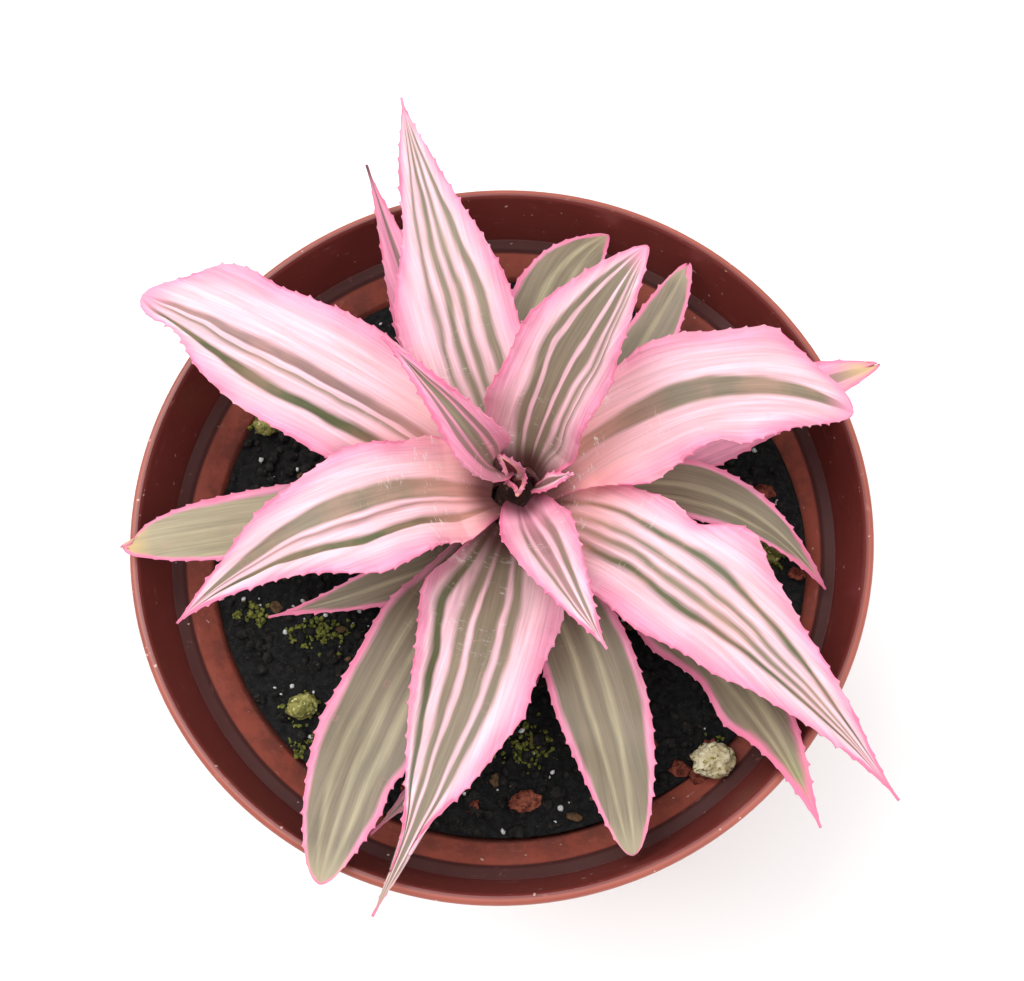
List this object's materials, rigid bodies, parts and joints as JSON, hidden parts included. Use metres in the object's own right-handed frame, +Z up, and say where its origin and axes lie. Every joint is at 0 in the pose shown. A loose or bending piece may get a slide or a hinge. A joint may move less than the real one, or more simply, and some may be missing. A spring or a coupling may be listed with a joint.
{
  "type": "potted earth star bromeliad",
  "caption": "Low rosette of stiff, wavy, spiny-edged pink and olive leaves on a short stem, growing in soil in a tapered round plastic nursery pot.",
  "frame": {"origin": "centre of the pot's underside, on the plane it stands on", "axes": "+Z up along the pot's axis, -Y towards the viewer of the picture"},
  "size_m": [0.1242, 0.1275, 0.1284],
  "materials": {
    "terracotta_plastic": "satin red-brown moulded plastic",
    "soil": "dark crumbly peat soil",
    "stem": "dry tan stem",
    "pink_leaf": "leathery pink leaf with olive stripes",
    "olive_leaf": "leathery olive leaf with a pink margin",
    "pumice": "rough pitted pumice",
    "bark": "rough reddish bark"
  },
  "bodies": {
    "root": {"pot": "terracotta_plastic", "soil": "soil", "stem": "stem", "leaf_heart_tip": "pink_leaf", "leaf_heart_left": "pink_leaf", "leaf_heart_front": "pink_leaf", "leaf_heart_back": "pink_leaf", "leaf_left_front": "pink_leaf", "leaf_right": "pink_leaf", "leaf_left_back": "pink_leaf", "leaf_back": "pink_leaf", "leaf_right_front": "pink_leaf", "leaf_front": "pink_leaf", "leaf_low_front_left": "olive_leaf", "leaf_low_front": "olive_leaf", "leaf_low_left": "olive_leaf", "leaf_low_right": "olive_leaf", "leaf_low_back": "olive_leaf", "leaf_low_right_back": "olive_leaf", "leaf_low_right_front": "olive_leaf", "leaf_low_back_right": "olive_leaf", "leaf_low_back_left": "olive_leaf", "leaf_small_left": "olive_leaf", "leaf_small_front": "olive_leaf", "pumice_right_front": "pumice", "pumice_right": "pumice", "pumice_left": "pumice", "pumice_left_front": "pumice", "bark_chip_front": "bark"}
  },
  "joints": []
}
